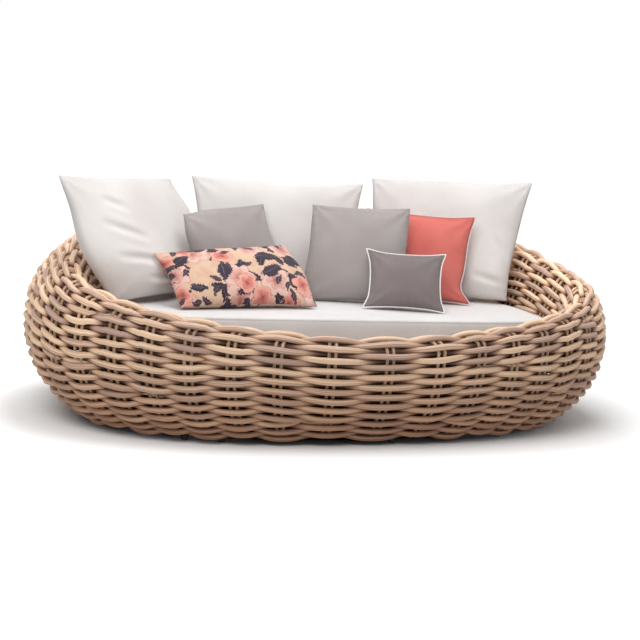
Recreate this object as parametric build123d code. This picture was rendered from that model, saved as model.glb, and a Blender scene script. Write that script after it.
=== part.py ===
from build123d import *
import math
import os

# Round wicker daybed: a thick woven roll round a seat well, with loose cushions.
# Millimetres. +Z is up, -Y is the front and +X is to the right of someone who faces it.
# The origin is on the floor, under the middle of the overall box.

# Woven body, outside
body_length = 2300
front_depth = 622
back_depth = 645
front_plan_power = 2.62
back_plan_power = 3.4
belly_height = 343
belly_curve = 533
belly_power = 2.21
front_rim_height = 412
back_rim_height = 739
rim_rise_power = 0.61
rim_roll_radius = 68

# Seat well, inside the woven body
front_wall_depth = 240
back_wall_depth = 295
end_wall_depth = 330
seat_widest_forward = 190
seat_front_power = 4.6
seat_back_power = 2.15
deck_height = 300

# Weave and stakes
strand_diameter = 18.5
stake_diameter = 11
stake_pair_spacing = 24
stake_pairs = 38
stake_gap = 0.85
inner_stake_slack = 3

# Frame of welded tube
frame_tube = 25
slat_width = 40
slat_thickness = 15
slat_count = 17
post_width = 20
deck_rail_spread = 300
floor_rail_shares = (-0.56, -0.28, 0, 0.28, 0.56)

# Glides
glide_height = 25
glide_diameter = 32
glide_taper = 4
glide_sides = 16
front_glide_shares = (-0.525, -0.415, 0.13, 0.525)
back_glide_shares = (-0.525, 0, 0.525)

# Seat cushion
seat_cushion_thickness = 145
seat_cushion_gap = 8
seat_rest_gap = 0.3
seat_side_drawn_in = 22
seat_crown_inset = 70
seat_steps = 56

# Loose cushions: width, height, thickness, and the foot as a share of the width
back_left_size = (620, 470, 150, 0.7)
back_middle_size = (720, 460, 140, 0.88)
back_right_size = (690, 500, 150, 0.78)
grey_left_size = (410, 355, 120, 1)
grey_right_size = (405, 388, 120, 1)
floral_size = (560, 285, 110, 1)
coral_size = (430, 350, 110, 1)
small_size = (304, 238, 80, 1)
piping_radius = 3
cushion_gap = 0.3

# Worked out from the sizes above
half_length = body_length / 2
middle_y = (front_depth - back_depth) / 2
seat_half_width = half_length - end_wall_depth
seat_front = front_depth - front_wall_depth
seat_back = back_depth - back_wall_depth
seat_middle_y = middle_y - seat_widest_forward
weave_base = glide_height
seat_top = deck_height + seat_rest_gap + seat_cushion_thickness
stake_depth = strand_diameter + stake_gap + stake_diameter / 2
search_steps = 40


def plan_value(x, y, centre_y, half_width, front, back, front_power, back_power):
    """Under 1 inside an oval plan outline, 1 on it."""
    depth, power = (front, front_power) if y < centre_y else (back, back_power)
    return abs(x / half_width) ** power + abs((y - centre_y) / depth) ** power


def body_value(x, y):
    return plan_value(x, y, middle_y, half_length, front_depth, back_depth,
                      front_plan_power, back_plan_power)


def seat_value(x, y):
    return plan_value(x, y, seat_middle_y, seat_half_width, seat_front - seat_widest_forward,
                      seat_back + seat_widest_forward, seat_front_power, seat_back_power)


def reach(value, bearing):
    """Distance from the plan middle to an outline along a bearing, by halving."""
    near, far = 0, body_length
    for _ in range(search_steps):
        trial = (near + far) / 2
        inside = value(trial * math.cos(bearing), middle_y + trial * math.sin(bearing)) < 1
        near, far = (trial, far) if inside else (near, trial)
    return near


def squareness(value, bearing):
    """Cosine between a bearing and the way that the outline faces there."""
    length = reach(value, bearing)
    x, y = length * math.cos(bearing), middle_y + length * math.sin(bearing)
    step = length / 1000
    across = value(x + step, y) - value(x - step, y)
    along = value(x, y + step) - value(x, y - step)
    return (across * math.cos(bearing) + along * math.sin(bearing)) / math.hypot(across, along)


def side_share(height):
    """Share of the full reach that the belly curve leaves at a height."""
    return (1 - abs((height - belly_height) / belly_curve) ** belly_power) ** (1 / belly_power)


def side_slope(height, outer_reach):
    """Change of the reach with height."""
    step = belly_curve / 1000
    return outer_reach * (side_share(height + step) - side_share(height - step)) / (2 * step)


def rim_height(bearing, outer_reach):
    """The rim climbs from the low front to the high back."""
    across = outer_reach * math.sin(bearing)
    rise_share = (1 + across / (front_depth if across < 0 else back_depth)) / 2
    return front_rim_height + (back_rim_height - front_rim_height) * rise_share ** rim_rise_power


def roll_circle(bearing, outer_reach):
    """Centre of the rim roll and the angle where the belly curve runs into it."""
    rim = rim_height(bearing, outer_reach)
    low, high = rim - 2 * rim_roll_radius, rim
    for _ in range(search_steps):
        trial = (low + high) / 2
        angle = math.atan(-side_slope(trial, outer_reach))
        top = trial + rim_roll_radius * (1 - math.sin(angle))
        low, high = (trial, high) if top < rim else (low, trial)
    centre = (outer_reach * side_share(low) - rim_roll_radius * math.cos(angle),
              low - rim_roll_radius * math.sin(angle))
    return centre, low, angle


# Where the section is cut into straight runs: up the belly, then over the roll
belly_shares = (0, 0.2, 0.4, 0.6, 0.8)
roll_steps = 3


def section(bearing, depth, inner_slack=0):
    """Points (reach, height) of the wall, a depth inside its face: up the belly, over the roll, to the foot."""
    outer_reach = reach(body_value, bearing)
    centre, roll_start, start_angle = roll_circle(bearing, outer_reach)
    body_square, seat_square = squareness(body_value, bearing), squareness(seat_value, bearing)
    foot_reach = reach(seat_value, bearing) + seat_cushion_gap
    points = []
    inward = depth / body_square
    for share in belly_shares:
        height = weave_base + share * (roll_start - weave_base)
        slope = side_slope(height, outer_reach)
        length = math.hypot(1, slope)
        across = outer_reach * side_share(height)
        if share == 0:
            points.append((across - inward * length, height))
        else:
            points.append((across - inward / length, height + inward * slope / length))
    rise = math.atan2(centre[1] - deck_height, centre[0] - foot_reach)
    spread = math.asin(rim_roll_radius / math.hypot(centre[0] - foot_reach, centre[1] - deck_height))
    end_angle = math.pi / 2 + rise + spread
    for step in range(roll_steps + 1):
        angle = start_angle + (end_angle - start_angle) * step / roll_steps
        square = body_square + (seat_square - body_square) * step / roll_steps
        slack = inner_slack * max(0, step - roll_steps // 2) / (roll_steps - roll_steps // 2)
        radius = rim_roll_radius - (depth + slack) / square
        points.append((centre[0] + radius * math.cos(angle), centre[1] + radius * math.sin(angle)))
    points.append((foot_reach - (depth + inner_slack) / seat_square / math.cos(end_angle), deck_height))
    return points


roll_crest = len(belly_shares) + roll_steps // 2


def place(bearing, point):
    return Vector(point[0] * math.cos(bearing), middle_y + point[0] * math.sin(bearing), point[1])


def even_bearings():
    """Bearings of the seams between bays, evenly spaced along the belly, from the front middle round."""
    fine = 40 * stake_pairs
    bearings = [2 * math.pi * step / fine - math.pi / 2 for step in range(fine + 1)]
    spots = [place(bearing, (reach(body_value, bearing), 0)) for bearing in bearings]
    lengths = [0]
    for before, after in zip(spots, spots[1:]):
        lengths.append(lengths[-1] + (after - before).length)
    chosen = []
    for number in range(stake_pairs):
        wanted = lengths[-1] * number / stake_pairs
        index = min(range(fine), key=lambda step: abs(lengths[step] - wanted))
        chosen.append(bearings[index])
    return chosen


bay_bearings = even_bearings()
body_squares = [squareness(body_value, bearing) for bearing in bay_bearings]
seat_squares = [squareness(seat_value, bearing) for bearing in bay_bearings]
next_bay = [(number + 1) % stake_pairs for number in range(stake_pairs)]


def rows_at(depth, inner_slack=0):
    return [[place(bearing, point) for point in section(bearing, depth, inner_slack)]
            for bearing in bay_bearings]


outer_rows = rows_at(0)
inner_rows = rows_at(strand_diameter)
stake_rows = rows_at(stake_depth, inner_stake_slack)


def flat_face(*corners):
    return Face(Wire.make_polygon(corners, close=True))


def halved(corners):
    return [flat_face(*corners[:3]), flat_face(corners[0], *corners[2:])]


def fanned(corners):
    """Four flat faces round the middle of a twisted side, so that its middle line stays straight."""
    middle = (corners[0] + corners[1] + corners[2] + corners[3]) * 0.25
    return [flat_face(corners[step], corners[(step + 1) % 4], middle) for step in range(4)]


def skin_between(loops, divide):
    """Flat faces between loops of points that follow each other."""
    faces = []
    for near, far in zip(loops, loops[1:]):
        sides = zip(near, near[1:] + near[:1], far[1:] + far[:1], far)
        for corners in sides:
            faces += divide(corners)
    return faces


def closed_ring(loops, divide):
    return Solid(Shell(skin_between(loops + loops[:1], divide)))


def rod(loops):
    """A straight-sided rod through its loops, closed at both ends."""
    return Solid(Shell(skin_between(loops, halved) + [flat_face(*loops[0]), flat_face(*loops[-1])]))


def weave_band(first, last):
    """The woven skin between two runs of the section, all the way round."""
    return closed_ring([outer[first:last + 1] + inner[first:last + 1][::-1]
                        for outer, inner in zip(outer_rows, inner_rows)], fanned)


def middle_of(first, second):
    return (first + second) * 0.5


def stake(number, side):
    """One rod of a pair: up inside the weave, over the rim tube and down to the deck ring."""
    following = next_bay[number]
    path = [middle_of(a, b) for a, b in zip(stake_rows[number], stake_rows[following])]
    radius = stake_diameter / 2
    loops = []
    for index, spot in enumerate(path):
        along = (stake_rows[following][index] - stake_rows[number][index]).normalized()
        before = path[max(index - 1, 0)]
        after = path[min(index + 1, len(path) - 1)]
        normal = along.cross((after - before).normalized()).normalized()
        if index in (0, len(path) - 1):
            level = Vector(normal.X, normal.Y, 0).normalized()
            normal = level * (1 / normal.dot(level))
            along = Vector(along.X, along.Y, 0).normalized()
        spot = spot + along * (side * stake_pair_spacing / 2)
        loops.append([spot + along * (a * radius) + normal * (b * radius)
                      for a, b in ((-1, -1), (1, -1), (1, 1), (-1, 1))])
    return rod(loops)


def tube_ring(spots, squares, sides):
    """A closed ring of tube through one spot in each bay seam, flat sided when it has four sides."""
    loops = []
    radius = frame_tube / 2 / math.cos(math.pi / sides)
    for bearing, square, spot in zip(bay_bearings, squares, spots):
        outward = Vector(math.cos(bearing), math.sin(bearing), 0) * (1 / square)
        corners = []
        for step in range(sides):
            angle = math.pi / sides + 2 * math.pi * step / sides
            corners.append(spot + outward * (radius * math.cos(angle))
                           + Vector(0, 0, radius * math.sin(angle)))
        loops.append(corners)
    return closed_ring(loops, fanned)


def base_spot(number):
    """The base ring lies against the foot of the stakes, flush with the weave's lower edge."""
    bearing = bay_bearings[number]
    first, second = section(bearing, stake_depth)[:2]
    slope = (second[0] - first[0]) / (second[1] - first[1])
    clear = (stake_diameter / 2 + stake_gap + frame_tube / 2) / body_squares[number]
    inward = max(clear * math.hypot(1, slope) - frame_tube / 2 * slope, clear + frame_tube / 2 * abs(slope))
    return place(bearing, (first[0] - inward, weave_base + frame_tube / 2))


def rim_spot(number):
    """The rim tube lies in the roll, under the highest run of the stakes."""
    bearing = bay_bearings[number]
    points = section(bearing, stake_depth, inner_stake_slack)
    crest = [(a + b) / 2 for a, b in zip(points[roll_crest], points[roll_crest + 1])]
    run = (points[roll_crest + 1][0] - points[roll_crest][0], points[roll_crest + 1][1] - points[roll_crest][1])
    length = math.hypot(*run)
    down = (stake_diameter / 2 + stake_gap + frame_tube / 2) / body_squares[number]
    return place(bearing, (crest[0] - down * run[1] / length, crest[1] + down * run[0] / length))


def deck_spot(number):
    """The deck ring lies under the foot of the inner weave."""
    bearing = bay_bearings[number]
    foot = section(bearing, 0)[-1][0]
    back = section(bearing, stake_depth + stake_diameter / 2)[-1][0]
    return place(bearing, ((foot + back) / 2, deck_height - frame_tube / 2))


base_spots = [base_spot(number) for number in range(stake_pairs)]
rim_spots = [rim_spot(number) for number in range(stake_pairs)]
deck_spots = [deck_spot(number) for number in range(stake_pairs)]


def inner_side(spots, squares):
    """The plan line of a ring's inner side."""
    line = []
    for bearing, square, spot in zip(bay_bearings, squares, spots):
        line.append(spot - Vector(math.cos(bearing), math.sin(bearing), 0) * (frame_tube / 2 / square))
    return line


def crossing(line, x, front):
    """Where a ring's plan line crosses an X, on its front or back side."""
    for number, following in enumerate(next_bay):
        a, b = line[number], line[following]
        if min(a.X, b.X) <= x <= max(a.X, b.X) and a.X != b.X:
            y = a.Y + (b.Y - a.Y) * (x - a.X) / (b.X - a.X)
            if (y < seat_middle_y) == front:
                return y
    raise ValueError("no crossing")


def bar(line, x, width, low, high):
    """A bar from front to back whose ends meet a ring's inner side."""
    left, right = x - width / 2, x + width / 2
    corners = [(left, crossing(line, left, True)), (right, crossing(line, right, True)),
               (right, crossing(line, right, False)), (left, crossing(line, left, False))]
    outline = Wire.make_polygon([Vector(cx, cy, low) for cx, cy in corners], close=True)
    return Solid.extrude(Face(outline), Vector(0, 0, high - low))


def long_bar(line, y, width, low, high):
    """A bar from end to end whose ends meet a ring's inner side."""
    reach_out = []
    for side_y in (y - width / 2, y + width / 2):
        found = []
        for number, following in enumerate(next_bay):
            a, b = line[number], line[following]
            if min(a.Y, b.Y) <= side_y <= max(a.Y, b.Y) and a.Y != b.Y:
                found.append(a.X + (b.X - a.X) * (side_y - a.Y) / (b.Y - a.Y))
        reach_out.append((min(found), max(found), side_y))
    (l0, r0, y0), (l1, r1, y1) = reach_out
    outline = Wire.make_polygon([Vector(l0, y0, low), Vector(r0, y0, low),
                                 Vector(r1, y1, low), Vector(l1, y1, low)], close=True)
    return Solid.extrude(Face(outline), Vector(0, 0, high - low))


def upright(x, y, low, high):
    """A square post between the floor rails and the deck."""
    return Solid.make_box(post_width, post_width, high - low,
                          Plane((x - post_width / 2, y - post_width / 2, low)))


def glide(x, y):
    """A round foot pad that tapers to the floor."""
    loops = []
    for radius, height in ((glide_diameter / 2 - glide_taper, 0), (glide_diameter / 2, glide_height)):
        angles = [2 * math.pi * step / glide_sides for step in range(glide_sides)]
        loops.append([Vector(x + radius * math.cos(angle), y + radius * math.sin(angle), height)
                      for angle in angles])
    return rod(loops)


def seat_outline(inset, height):
    """Points round the seat's outline, a little way in from the well's own curve."""
    bearings = [2 * math.pi * step / seat_steps - math.pi / 2 for step in range(seat_steps)]
    return [place(bearing, (reach(seat_value, bearing) - inset / squareness(seat_value, bearing), height))
            for bearing in bearings]


def seat_cushion():
    """A thick pad that fills the well, drawn in at the foot and rounded over to a flat crown."""
    low = deck_height + seat_rest_gap
    thick = seat_cushion_thickness
    drawn = seat_side_drawn_in
    levels = ((drawn, 0), (drawn * 0.2, 0.1), (0, 0.3), (0, 0.65), (drawn * 0.35, 0.86),
              (drawn * 1.5, 0.96), (seat_crown_inset, 1))
    return rod([seat_outline(inset, low + thick * share) for inset, share in levels])


# Straight runs in each side of a cushion
side_steps = 4


def cushion_outline(width, height, bow, level, foot_share):
    """Points round the cushion: pointed corners, sides drawn in by the bow, the foot narrower than the top."""
    x, y = width / 2, height / 2
    foot = x * foot_share
    corners = [Vector(-foot, -y, level), Vector(foot, -y, level), Vector(x, y, level), Vector(-x, y, level)]
    inward = [Vector(0, 1, 0), Vector(-1, 0, 0), Vector(0, -1, 0), Vector(1, 0, 0)]
    points = []
    for side, start in enumerate(corners):
        end = corners[(side + 1) % 4]
        for step in range(side_steps):
            share = step / side_steps
            points.append(start + (end - start) * share + inward[side] * (bow * 4 * share * (1 - share)))
    return points


# Share of the half thickness, share of the width and height left there, and bow as a share of the height
crown_shares = ((0, 1, 0.045), (0.42, 0.9, 0.012), (0.8, 0.7, -0.03), (1, 0.4, -0.03))


def pillow(size):
    """A knife-edge cushion: pointed corners, drawn-in sides and a crown on both faces."""
    width, height, thickness, foot_share = size
    rows = [(-level, left, bow) for level, left, bow in crown_shares[:0:-1]] + list(crown_shares)
    return rod([cushion_outline(width * left, height * left, height * bow, thickness / 2 * level, foot_share)
                for level, left, bow in rows])


def piping(size):
    """Piping sewn into the seam all round."""
    width, height, _, foot_share = size
    bow = height * crown_shares[0][2]
    grown = 4 * piping_radius
    outer = flat_face(*cushion_outline(width + grown, height + grown, bow, -piping_radius, foot_share))
    inner = flat_face(*cushion_outline(width, height, bow, -piping_radius, foot_share))
    return Solid.extrude((outer - inner).faces()[0], Vector(0, 0, 2 * piping_radius))


def resting(shapes, height, x_share, y_share, turn, lean, tip):
    """Where a cushion stands on the seat: its lowest point on the seat top, leaning back."""
    upright_plane = Plane((0, 0, 0), x_dir=(1, 0, 0), z_dir=(0, -1, 0))
    tilt = Location((0, 0, 0), (0, 0, turn)) * Location((0, 0, 0), (-lean, 0, 0))
    seated = tilt * upright_plane.location * Location((0, 0, 0), (0, 0, tip))
    lowest = min(vertex.Z for shape in shapes for vertex in shape.moved(seated).vertices())
    foot = (seated * Location((0, -height / 2, 0))).position
    x = x_share * seat_half_width - foot.X
    y = seat_middle_y + y_share * (seat_back + seat_widest_forward) - foot.Y
    return Location((x, y, seat_top + cushion_gap - lowest)) * seated


# Place across and back as shares of the seat's half width and rear depth, then turn, lean and tip in degrees
cushion_places = {
    "back_cushion_left": (back_left_size, -0.845, 0.365, 42, 18, 0),
    "back_cushion_middle": (back_middle_size, -0.165, 0.81, -4, 13, 0),
    "back_cushion_right": (back_right_size, 0.67, 0.62, -20, 16, 1),
    "grey_cushion_left": (grey_left_size, -0.415, 0.465, 24, 19, 3),
    "grey_cushion_right": (grey_right_size, 0.155, 0.31, -13, 18, 1),
    "floral_cushion": (floral_size, -0.43, -0.04, 15, 48, 2),
    "coral_cushion": (coral_size, 0.45, 0.45, -22, 18, -2),
    "small_cushion": (small_size, 0.345, -0.04, -16, 30, 0),
}
piped_cushions = {"coral_cushion": "coral_piping", "small_cushion": "small_piping"}

base_side = inner_side(base_spots, body_squares)
deck_side = inner_side(deck_spots, seat_squares)
rail_low = deck_height - slat_thickness - frame_tube
rail_ys = [seat_middle_y + seat_widest_forward / 2 + side * deck_rail_spread / 2 for side in (-1, 1)]
floor_xs = [share * half_length for share in floor_rail_shares]
slat_reach = seat_half_width - 2 * slat_width
slat_xs = [slat_reach * (2 * number / (slat_count - 1) - 1) for number in range(slat_count)]
deck_ring_low = deck_height - frame_tube
floor_top = weave_base + frame_tube

posts = []
for floor_x in floor_xs:
    for rail_y in rail_ys:
        posts.append(upright(floor_x, rail_y, floor_top, rail_low))
    for is_front in (True, False):
        ring_y = crossing(deck_spots, floor_x, is_front)
        posts.append(upright(floor_x, ring_y, floor_top, deck_ring_low))

glides = [glide(share * half_length, crossing(base_spots, share * half_length, True))
          for share in front_glide_shares]
glides += [glide(share * half_length, crossing(base_spots, share * half_length, False))
           for share in back_glide_shares]
for end in (min(base_spots, key=lambda spot: spot.X), max(base_spots, key=lambda spot: spot.X)):
    glides.append(glide(end.X, end.Y))

quarter_names = ("front_stakes", "right_stakes", "back_stakes", "left_stakes")
quarters = {name: [] for name in quarter_names}
for number in range(stake_pairs):
    turned = (math.degrees(bay_bearings[number]) + 90) % 360
    quarter = quarter_names[int((turned + 45) // 90) % 4]
    quarters[quarter] += [stake(number, -1), stake(number, 1)]

nodes = {
    "outer_weave": weave_band(0, roll_crest),
    "inner_weave": weave_band(roll_crest, len(outer_rows[0]) - 1),
    "base_ring": tube_ring(base_spots, body_squares, 4),
    "rim_ring": tube_ring(rim_spots, body_squares, 8),
    "deck_ring": tube_ring(deck_spots, seat_squares, 4),
    "floor_rails": [bar(base_side, x, frame_tube, weave_base, floor_top) for x in floor_xs],
    "deck_rails": [long_bar(deck_side, y, frame_tube, rail_low, rail_low + frame_tube) for y in rail_ys],
    "deck_slats": [bar(deck_side, x, slat_width, deck_height - slat_thickness, deck_height)
                   for x in slat_xs],
    "deck_posts": posts,
    "glides": glides,
    "seat_cushion": seat_cushion(),
}
nodes.update(quarters)
for name, (size, *spot) in cushion_places.items():
    sewn = {name: pillow(size)}
    if name in piped_cushions:
        sewn[piped_cushions[name]] = piping(size)
    where = resting(sewn.values(), size[1], *spot)
    nodes.update({piece: shape.moved(where) for piece, shape in sewn.items()})

os.makedirs("parts", exist_ok=True)
for name, shape in nodes.items():
    export_step(Compound(children=shape) if isinstance(shape, list) else shape, f"parts/{name}.step")
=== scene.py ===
import bpy
import bmesh
import math
import random
import numpy as np
from mathutils import Matrix, Vector


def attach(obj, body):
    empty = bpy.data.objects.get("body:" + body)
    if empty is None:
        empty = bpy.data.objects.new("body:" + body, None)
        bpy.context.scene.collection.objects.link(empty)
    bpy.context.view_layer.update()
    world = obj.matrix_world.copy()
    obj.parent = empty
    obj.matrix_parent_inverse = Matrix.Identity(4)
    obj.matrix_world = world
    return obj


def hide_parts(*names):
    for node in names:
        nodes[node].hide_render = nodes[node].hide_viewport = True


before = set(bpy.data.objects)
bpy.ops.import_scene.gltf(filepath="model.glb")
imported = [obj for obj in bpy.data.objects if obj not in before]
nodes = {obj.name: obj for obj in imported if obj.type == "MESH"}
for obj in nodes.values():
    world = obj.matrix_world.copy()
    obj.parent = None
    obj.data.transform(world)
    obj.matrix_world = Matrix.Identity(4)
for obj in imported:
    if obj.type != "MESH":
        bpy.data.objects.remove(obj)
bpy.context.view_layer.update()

# Stakes. Thin round rods in pairs, 24 mm apart, stand on the base ring inside the belly, bend over
# the rim tube and go down to the deck ring. They are resin wicker, a shade browner than the strands
# that are woven round them. The wall that they shape is worked out here, for the weave as well.
bays = 38
bay_steps = 12
fine_steps = 40
lay_steps = 120
halvings = 40
half_length, front_depth, back_depth = 1.15, 0.622, 0.645
body_front_power, body_back_power = 2.62, 3.4
middle_y = (front_depth - back_depth) / 2
front_wall, back_wall, end_wall = 0.24, 0.295, 0.33
well_forward, well_front_power, well_back_power = 0.19, 4.6, 3.0
base_z, deck_z, under_base = 0.025, 0.3, 0.01
belly_z, belly_curve, belly_power = 0.343, 0.533, 2.21
front_rim_z, rim_rise, rise_power = 0.412, 0.327, 0.61
roll_radius = 0.068
seat_gap = 0.008
belly_places, roll_places, inner_places = 30, 30, 12
end_bay, front_bay_gain, back_bay_gain = 0.133, 0.084, 0.111
first_bay_turn, bay_skew = 0.05, 0.04
stake_radius, stake_spacing, stake_depth = 0.0063, 0.024, 0.0247
stake_stride = 6


def oval_reach(bearings, centre_y, half_width, front, back, front_power, back_power):
    """How far an oval plan outline lies from the body's middle along each bearing, by halving."""
    near, far = np.zeros_like(bearings), np.full_like(bearings, 2 * half_length)
    for _ in range(halvings):
        trial = (near + far) / 2
        x = trial * np.cos(bearings)
        y = middle_y + trial * np.sin(bearings) - centre_y
        power = np.where(y < 0, front_power, back_power)
        inside = abs(x / half_width) ** power + abs(y / np.where(y < 0, front, back)) ** power < 1
        near, far = np.where(inside, trial, near), np.where(inside, far, trial)
    return near


def body_reach(bearings):
    """How far the belly's widest outline lies along each bearing."""
    return oval_reach(bearings, middle_y, half_length, front_depth, back_depth,
                      body_front_power, body_back_power)


def well_reach(bearings):
    """How far the outline of the seat's well lies along each bearing."""
    return oval_reach(bearings, middle_y - well_forward, half_length - end_wall,
                      front_depth - front_wall - well_forward, back_depth - back_wall + well_forward,
                      well_front_power, well_back_power)


def bearings_at(bay):
    """Bearing of a spot counted in bays round the belly. The bays are wide in front, close at the ends."""
    fine = np.linspace(0, 2 * math.pi, bays * fine_steps + 1) - math.pi / 2 - first_bay_turn
    far = body_reach(fine)
    step = np.hypot(np.diff(far * np.cos(fine)), np.diff(far * np.sin(fine)))
    forward = np.sin((fine[1:] + fine[:-1]) / 2 + bay_skew)
    bay_length = end_bay + np.where(forward < 0, front_bay_gain * forward ** 6, back_bay_gain * forward ** 2)
    run = np.concatenate([[0], np.cumsum(step / bay_length)])
    return np.interp(np.asarray(bay) / bays * run[-1], run, fine)


def side_share(z):
    """The belly's outline: its reach at a height, as a share of the widest."""
    return (1 - abs((z - belly_z) / belly_curve) ** belly_power) ** (1 / belly_power)


def side_lean(z, far):
    """How fast the belly's reach grows with height."""
    step = 5e-4
    return far * (side_share(z + step) - side_share(z - step)) / (2 * step)


columns = np.arange(bays * bay_steps) / bay_steps
column_bearings = bearings_at(columns)
column_reach = body_reach(column_bearings)


def wall_face():
    """The outside of the wall at each column: up the belly, over the roll and down to the deck."""
    far = column_reach
    across = far * np.sin(column_bearings)
    rise = (1 + across / np.where(across < 0, front_depth, back_depth)) / 2
    rim = front_rim_z + rim_rise * rise ** rise_power
    low, high = rim - 2 * roll_radius, rim.copy()
    for _ in range(halvings):
        trial = (low + high) / 2
        under = trial + roll_radius * (1 - np.sin(np.arctan(-side_lean(trial, far)))) < rim
        low, high = np.where(under, trial, low), np.where(under, high, trial)
    start = np.arctan(-side_lean(low, far))
    centre = far * side_share(low) - roll_radius * np.cos(start)
    centre_z = low - roll_radius * np.sin(start)
    foot = well_reach(column_bearings) + seat_gap
    end = (math.pi / 2 + np.arctan2(centre_z - deck_z, centre - foot)
           + np.arcsin(roll_radius / np.hypot(centre - foot, centre_z - deck_z)))
    profile = []
    for share in np.linspace(0, 1, belly_places)[:-1]:
        z = base_z - under_base + share * (low - base_z + under_base)
        profile.append((far * side_share(z), z))
    for share in np.linspace(0, 1, roll_places):
        turn = start + (end - start) * share
        profile.append((centre + roll_radius * np.cos(turn), centre_z + roll_radius * np.sin(turn)))
    last, last_z = profile[-1]
    for share in np.linspace(0, 1, inner_places)[1:]:
        profile.append((last + (foot - last) * share, last_z + (deck_z - last_z) * share))
    return np.array([[reach * np.cos(column_bearings), middle_y + reach * np.sin(column_bearings),
                      z + 0 * reach] for reach, z in profile]).transpose(2, 0, 1)


def wall_layer(depth):
    """Even places on the wall at a depth, their outward ways, and the lengths outside and inside."""
    face = wall_face()
    around = np.roll(face, -1, 0) - np.roll(face, 1, 0)
    upward = np.gradient(face, axis=1)
    outward = np.cross(around, upward)
    outward /= np.linalg.norm(outward, axis=2, keepdims=True)
    sunk = face - outward * depth
    places, ways, lengths = [], [], []
    for spots, normals in zip(sunk, outward):
        run = np.concatenate([[0], np.cumsum(np.linalg.norm(np.diff(spots, axis=0), axis=1))])
        crest = run[np.argmax(spots[:, 2])]
        wanted = np.concatenate([np.linspace(0, crest, lay_steps + 1),
                                 np.linspace(crest, run[-1], lay_steps + 1)[1:]])
        places.append([np.interp(wanted, run, spots[:, axis]) for axis in range(3)])
        ways.append([np.interp(wanted, run, normals[:, axis]) for axis in range(3)])
        lengths.append((crest, run[-1] - crest))
    return (np.array(places).transpose(0, 2, 1), np.array(ways).transpose(0, 2, 1),
            np.array(lengths))


def round_rod(points, radii, closed, tone, hidden=0.0, roundness=2):
    """A rod of round section along points, with its own tone, an amount of painted shade at each point, and
    its length along its UV map.
    """
    line = bpy.data.curves.new("rod", "CURVE")
    line.dimensions = "3D"
    line.bevel_depth = 1
    line.bevel_resolution = roundness
    line.use_fill_caps = not closed
    run = line.splines.new("POLY")
    run.points.add(len(points) - 1)
    run.points.foreach_set("co", np.c_[points, np.ones(len(points))].ravel())
    run.points.foreach_set("radius", radii)
    run.use_cyclic_u = closed
    holder = bpy.data.objects.new("rod", line)
    mesh = bpy.data.meshes.new_from_object(holder)
    bpy.data.objects.remove(holder)
    bpy.data.curves.remove(line)
    length = np.linalg.norm(np.diff(points, axis=0), axis=1).sum()
    spread = np.zeros(len(mesh.loops) * 2)
    mesh.uv_layers[0].data.foreach_get("uv", spread)
    spread[1::2] *= length
    mesh.uv_layers[0].data.foreach_set("uv", spread)
    marks = mesh.attributes.new("tone", "FLOAT", "POINT")
    marks.data.foreach_set("value", np.full(len(mesh.vertices), tone))
    marks = mesh.attributes.new("hidden", "FLOAT", "POINT")
    ring = 4 + 2 * roundness
    deep = np.repeat(np.broadcast_to(hidden, len(points)).astype(float), ring)
    caps = np.full(len(mesh.vertices) - len(deep), deep[0])
    marks.data.foreach_set("value", np.concatenate([caps, deep]))
    return mesh


def bundle(name, meshes, material):
    """Loose rods kept together as one piece."""
    piece = bmesh.new()
    for mesh in meshes:
        piece.from_mesh(mesh)
        bpy.data.meshes.remove(mesh)
    for face in piece.faces:
        face.smooth = True
    mesh = bpy.data.meshes.new(name)
    piece.to_mesh(mesh)
    piece.free()
    mesh.materials.append(material)
    shown = bpy.data.objects.new(name, mesh)
    bpy.context.scene.collection.objects.link(shown)
    return shown


def tint(red, green, blue):
    """A colour as it looks on a screen, 0 to 255, made linear for the shader."""
    return [(c / 12.92 if c <= 0.04045 else ((c + 0.055) / 1.055) ** 2.4)
            for c in (red / 255, green / 255, blue / 255)] + [1]


def put(tree, kind, inputs=(), **settings):
    """Adds a shader node with its settings, and links or sets its inputs."""
    node = tree.nodes.new("ShaderNode" + kind)
    for key, value in settings.items():
        setattr(node, key, value)
    for key, value in dict(inputs).items():
        if isinstance(value, bpy.types.NodeSocket):
            tree.links.new(value, node.inputs[key])
        else:
            node.inputs[key].default_value = value
    return node


def reckon(tree, operation, *values):
    """One step of arithmetic on the surface."""
    return put(tree, "Math", dict(enumerate(values)), operation=operation).outputs[0]


def ranged(tree, value, start, end, low=0.0, high=1.0, way="LINEAR"):
    """A value that goes from low to high while another goes from start to end."""
    return put(tree, "MapRange", {"Value": value, "From Min": start, "From Max": end, "To Min": low,
                                  "To Max": high}, interpolation_type=way).outputs[0]


def stretched(tree, *scaled):
    """A place made of values, each times its own scale."""
    return put(tree, "CombineXYZ", {slot: reckon(tree, "MULTIPLY", value, scale)
                                    for slot, (value, scale) in enumerate(scaled)}).outputs[0]


def noise(tree, place, scale, detail, roughness=0.5):
    """A cloudy pattern, in values and in colours."""
    return put(tree, "TexNoise", {"Vector": place, "Scale": scale, "Detail": detail,
                                  "Roughness": roughness})


def laid_over(tree, below, above, share=1.0, way="MIX"):
    """One colour on another, by a share."""
    return put(tree, "Mix", {0: share, 6: below, 7: above}, data_type="RGBA", blend_type=way).outputs[2]


def ramp_of(tree, factor, stops):
    """A colour ramp from (place, colour) stops."""
    ramp = put(tree, "ValToRGB", {"Fac": factor})
    bar = ramp.color_ramp
    while len(bar.elements) < len(stops):
        bar.elements.new(0.5)
    for element, (place, colour) in zip(bar.elements, stops):
        element.position, element.color = place, colour
    return ramp.outputs["Color"]


def roughened(tree, shader, height, strength, distance):
    """Gives a surface its fine relief."""
    bump = put(tree, "Bump", {"Height": height, "Strength": strength, "Distance": distance})
    tree.links.new(bump.outputs[0], shader.inputs["Normal"])


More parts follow.
